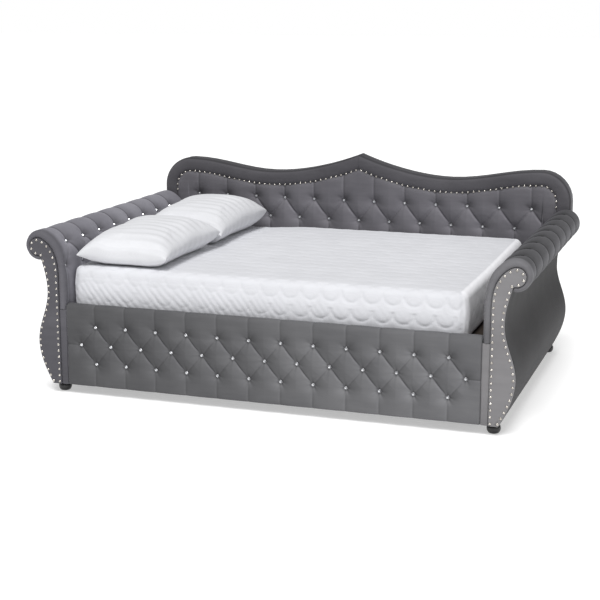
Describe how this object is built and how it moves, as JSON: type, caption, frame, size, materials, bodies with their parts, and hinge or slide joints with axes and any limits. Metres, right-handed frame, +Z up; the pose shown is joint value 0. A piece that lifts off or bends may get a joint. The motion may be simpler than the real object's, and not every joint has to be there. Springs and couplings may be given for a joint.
{
  "type": "daybed",
  "caption": "Upholstered velvet daybed with scroll arms, camelback tufted back, tufted front rail, nailhead trim, bun feet, mattress and pillows.",
  "frame": {"origin": "on the floor, under the middle of the daybed's bounding box", "axes": "+X along the back towards the right arm as seen from the front, +Y from the front rail to the back, +Z up"},
  "size_m": [2.51, 1.66, 1.07],
  "materials": {
    "velvet": "short-pile grey velvet with a soft sheen",
    "timber": "dark-stained softwood and plywood",
    "nail_metal": "polished pewter-coloured domed nail heads",
    "button_crystal": "clear faceted buttons in a bright metal cup",
    "foot_lacquer": "black lacquer",
    "lining": "black non-woven lining cloth",
    "bracket_steel": "dark zinc plate",
    "quilted_cotton": "white quilted cotton cover",
    "striped_cotton": "white cotton with tone-on-tone satin stripes"
  },
  "bodies": {
    "bed_frame": {"left_arm_front_post": "timber", "left_arm_rear_post": "timber", "left_arm_roll_core": "timber", "left_arm_bottom_rail": "timber", "left_arm_inner_panel": "timber", "left_arm_outer_cover": "velvet", "left_arm_pad": "velvet", "left_arm_inner_base": "velvet", "left_arm_facing": "velvet", "left_arm_nail_trim": "nail_metal", "left_front_foot": "foot_lacquer", "left_rear_foot": "foot_lacquer", "right_arm_front_post": "timber", "right_arm_rear_post": "timber", "right_arm_roll_core": "timber", "right_arm_bottom_rail": "timber", "right_arm_inner_panel": "timber", "right_arm_outer_cover": "velvet", "right_arm_pad": "velvet", "right_arm_inner_base": "velvet", "right_arm_facing": "velvet", "right_arm_nail_trim": "nail_metal", "right_front_foot": "foot_lacquer", "right_rear_foot": "foot_lacquer", "back_board": "timber", "back_top_rail": "timber", "back_post_left": "timber", "back_post_right": "timber", "back_centre_stile": "timber", "back_lower_panel": "timber", "back_border_pad": "velvet", "back_field_pad": "velvet", "back_nail_trim": "nail_metal", "back_rear_cover": "lining", "front_rail_board": "timber", "front_rail_pad": "velvet", "ledger_front": "timber", "ledger_rear": "timber", "slat_01": "timber", "slat_02": "timber", "slat_03": "timber", "slat_04": "timber", "slat_05": "timber", "slat_06": "timber", "slat_07": "timber", "slat_08": "timber", "slat_09": "timber", "slat_10": "timber", "slat_11": "timber", "centre_beam": "timber", "beam_leg_left": "timber", "beam_leg_middle": "timber", "beam_leg_right": "timber", "rail_bracket_left": "bracket_steel", "rail_bracket_right": "bracket_steel", "back_bracket_left": "bracket_steel", "back_bracket_right": "bracket_steel"},
    "mattress": {"mattress": "quilted_cotton"},
    "pillow_front": {"pillow_front": "striped_cotton"},
    "pillow_rear": {"pillow_rear": "striped_cotton"}
  },
  "joints": [
    {"name": "mattress_lift", "type": "slide", "parent": "bed_frame", "child": "mattress", "axis": [0, 0, 1], "range_m": [0, 0.7]},
    {"name": "pillow_front_lift", "type": "slide", "parent": "mattress", "child": "pillow_front", "axis": [0, 0, 1], "range_m": [0, 0.45]},
    {"name": "pillow_rear_lift", "type": "slide", "parent": "mattress", "child": "pillow_rear", "axis": [0, 0, 1], "range_m": [0, 0.45]}
  ]
}
